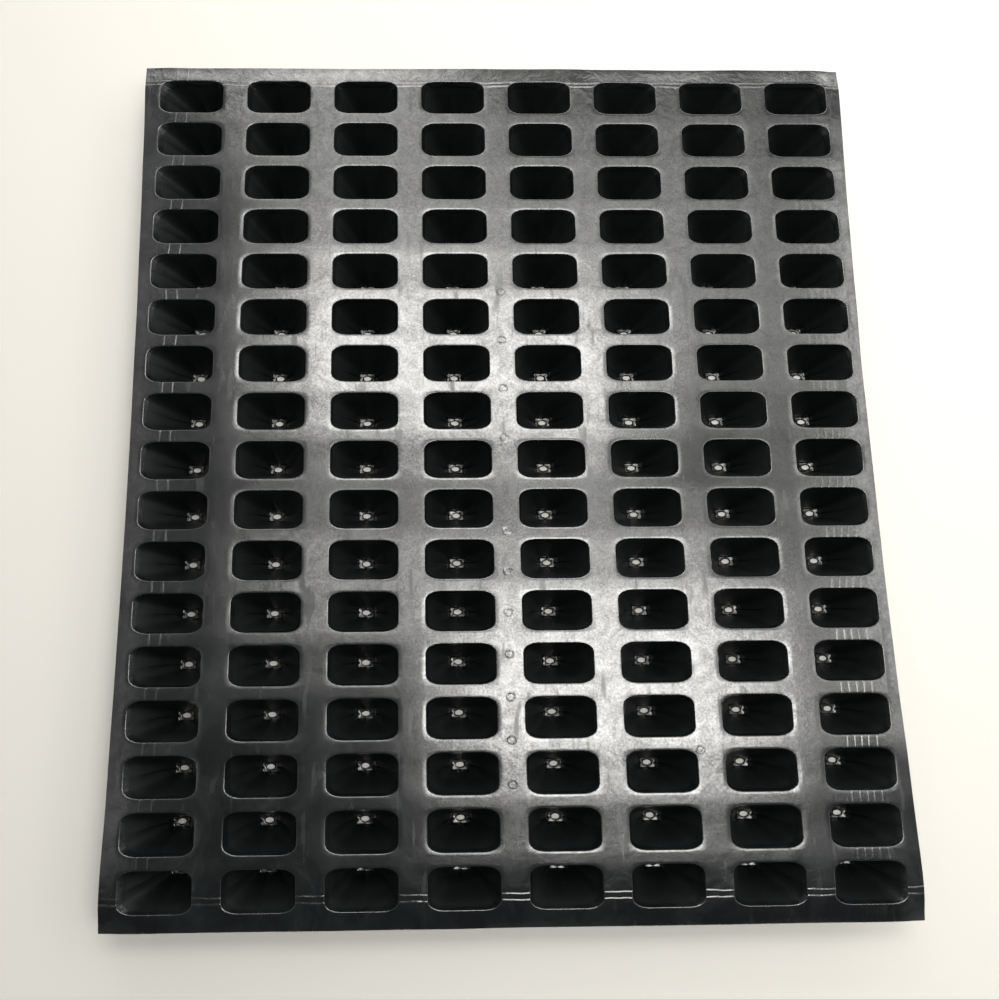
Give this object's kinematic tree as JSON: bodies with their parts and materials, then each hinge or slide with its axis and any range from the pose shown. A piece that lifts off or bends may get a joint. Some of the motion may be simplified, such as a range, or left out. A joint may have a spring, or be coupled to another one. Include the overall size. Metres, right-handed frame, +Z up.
{
  "type": "plug tray",
  "caption": "Thin black formed-plastic seedling plug tray, a flat deck of rounded rectangular cells that taper to small bases with drain holes.",
  "frame": {"origin": "on the surface that the cell bottoms stand on, below the middle of the tray", "axes": "+X across the tray (8 columns), +Y along the tray towards row 1, +Z up out of the cells"},
  "size_m": [0.283, 0.326, 0.0195],
  "materials": {
    "tray_sheet": "semi-gloss black polystyrene sheet with a fine mottled skin, slightly wrinkled at the flanges"
  },
  "bodies": {
    "root": {"cell_row_01": "tray_sheet", "cell_row_02": "tray_sheet", "cell_row_03": "tray_sheet", "cell_row_04": "tray_sheet", "cell_row_05": "tray_sheet", "cell_row_06": "tray_sheet", "cell_row_07": "tray_sheet", "cell_row_08": "tray_sheet", "cell_row_09": "tray_sheet", "cell_row_10": "tray_sheet", "cell_row_11": "tray_sheet", "cell_row_12": "tray_sheet", "cell_row_13": "tray_sheet", "cell_row_14": "tray_sheet", "cell_row_15": "tray_sheet", "cell_row_16": "tray_sheet", "cell_row_17": "tray_sheet", "edge_flange_back": "tray_sheet", "edge_flange_front": "tray_sheet", "edge_flange_left": "tray_sheet", "edge_flange_right": "tray_sheet"}
  },
  "joints": []
}
